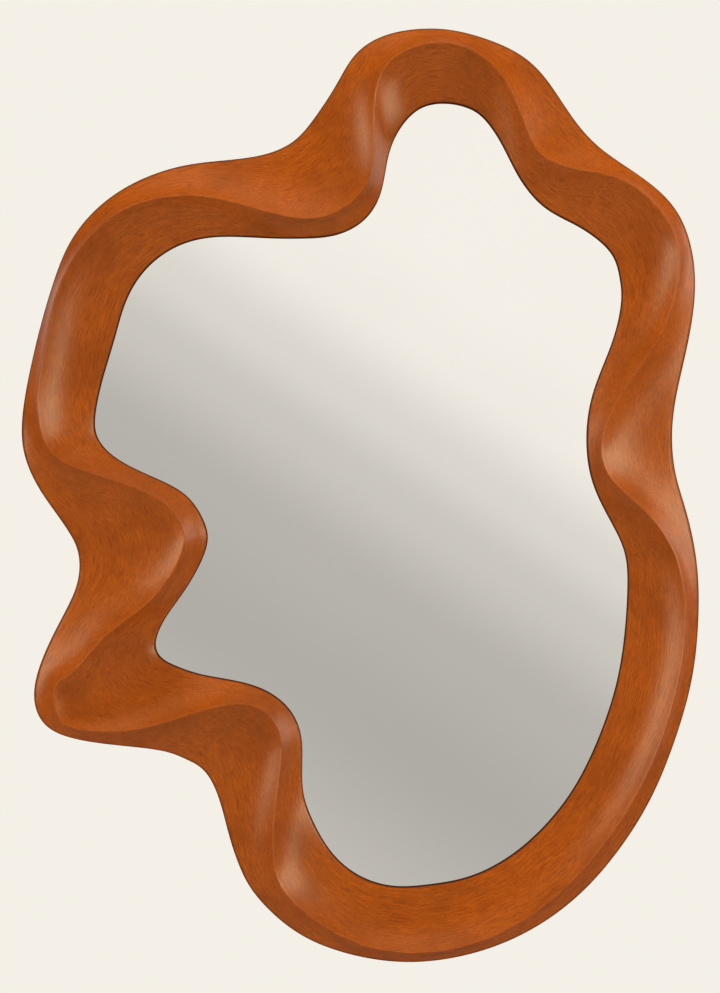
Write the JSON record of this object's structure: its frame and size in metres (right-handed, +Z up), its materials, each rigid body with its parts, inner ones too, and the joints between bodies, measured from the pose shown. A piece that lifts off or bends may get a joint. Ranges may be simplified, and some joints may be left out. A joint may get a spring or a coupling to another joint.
{
  "type": "irregular shaped mirror",
  "caption": "Wall mirror in a free-form outline with a carved wooden ring frame whose ridge wanders between inner and outer edge; hangs on two D-rings.",
  "frame": {"origin": "on the wall plane, behind the middle of the frame's width and height", "axes": "+Z up along the height, +X to the right as seen from the front, +Y into the wall; the front faces -Y"},
  "size_m": [0.7363, 0.05, 1.015],
  "materials": {
    "stained_wood": "reddish orange-brown stain, satin",
    "pale_wood": "raw",
    "silvered_glass": "polished",
    "hardboard": "pressed fibre, matt",
    "zinc_steel": "zinc plated",
    "screw_steel": "yellow zinc plated",
    "rubber": "matt"
  },
  "bodies": {
    "frame": {"frame_segment_1": "stained_wood", "frame_segment_2": "stained_wood", "frame_segment_3": "stained_wood", "frame_segment_4": "stained_wood", "frame_segment_5": "stained_wood", "frame_segment_6": "stained_wood", "frame_segment_7": "stained_wood", "frame_segment_8": "stained_wood", "frame_segment_9": "stained_wood", "frame_segment_10": "stained_wood", "frame_segment_11": "stained_wood", "frame_segment_12": "stained_wood", "loose_tenon_1": "pale_wood", "loose_tenon_2": "pale_wood", "loose_tenon_3": "pale_wood", "loose_tenon_4": "pale_wood", "loose_tenon_5": "pale_wood", "loose_tenon_6": "pale_wood", "loose_tenon_7": "pale_wood", "loose_tenon_8": "pale_wood", "loose_tenon_9": "pale_wood", "loose_tenon_10": "pale_wood", "loose_tenon_11": "pale_wood", "loose_tenon_12": "pale_wood", "mirror_glass": "silvered_glass", "backing_board": "hardboard", "setting_block_1": "rubber", "setting_block_2": "rubber", "button_screw_1": "screw_steel", "button_screw_2": "screw_steel", "button_screw_3": "screw_steel", "button_screw_4": "screw_steel", "button_screw_5": "screw_steel", "button_screw_6": "screw_steel", "button_screw_7": "screw_steel", "button_screw_8": "screw_steel", "hanger_strap_left": "zinc_steel", "hanger_strap_right": "zinc_steel", "hanger_screw_1": "screw_steel", "hanger_screw_2": "screw_steel", "hanger_screw_3": "screw_steel", "hanger_screw_4": "screw_steel", "bumper_1": "rubber", "bumper_2": "rubber", "bumper_3": "rubber", "bumper_4": "rubber"},
    "button_1": {"turn_button_1": "zinc_steel"},
    "button_2": {"turn_button_2": "zinc_steel"},
    "button_3": {"turn_button_3": "zinc_steel"},
    "button_4": {"turn_button_4": "zinc_steel"},
    "button_5": {"turn_button_5": "zinc_steel"},
    "button_6": {"turn_button_6": "zinc_steel"},
    "button_7": {"turn_button_7": "zinc_steel"},
    "button_8": {"turn_button_8": "zinc_steel"},
    "ring_left": {"d_ring_left": "zinc_steel"},
    "ring_right": {"d_ring_right": "zinc_steel"}
  },
  "joints": [
    {"name": "button_1_turn", "type": "hinge", "parent": "frame", "child": "button_1", "pos_m": [0.1711, -0.0053, 0.4057], "axis": [0, 1, 0], "continuous": true},
    {"name": "button_2_turn", "type": "hinge", "parent": "frame", "child": "button_2", "pos_m": [0.3066, -0.0053, 0.1835], "axis": [0, 1, 0], "continuous": true},
    {"name": "button_3_turn", "type": "hinge", "parent": "frame", "child": "button_3", "pos_m": [0.3177, -0.0053, -0.0886], "axis": [0, 1, 0], "continuous": true},
    {"name": "button_4_turn", "type": "hinge", "parent": "frame", "child": "button_4", "pos_m": [0.2457, -0.0053, -0.347], "axis": [0, 1, 0], "continuous": true},
    {"name": "button_5_turn", "type": "hinge", "parent": "frame", "child": "button_5", "pos_m": [-0.0691, -0.0053, -0.3777], "axis": [0, 1, 0], "continuous": true},
    {"name": "button_6_turn", "type": "hinge", "parent": "frame", "child": "button_6", "pos_m": [-0.188, -0.0053, -0.2181], "axis": [0, 1, 0], "continuous": true},
    {"name": "button_7_turn", "type": "hinge", "parent": "frame", "child": "button_7", "pos_m": [-0.2555, -0.0053, 0.005], "axis": [0, 1, 0], "continuous": true},
    {"name": "button_8_turn", "type": "hinge", "parent": "frame", "child": "button_8", "pos_m": [-0.1493, -0.0053, 0.3078], "axis": [0, 1, 0], "continuous": true},
    {"name": "ring_left_swing", "type": "hinge", "parent": "frame", "child": "ring_left", "pos_m": [-0.292, -0.0035, 0.25], "axis": [-1, 0, 0], "range_deg": [0, 175]},
    {"name": "ring_right_swing", "type": "hinge", "parent": "frame", "child": "ring_right", "pos_m": [0.3176, -0.0035, 0.25], "axis": [-1, 0, 0], "range_deg": [0, 175]}
  ]
}
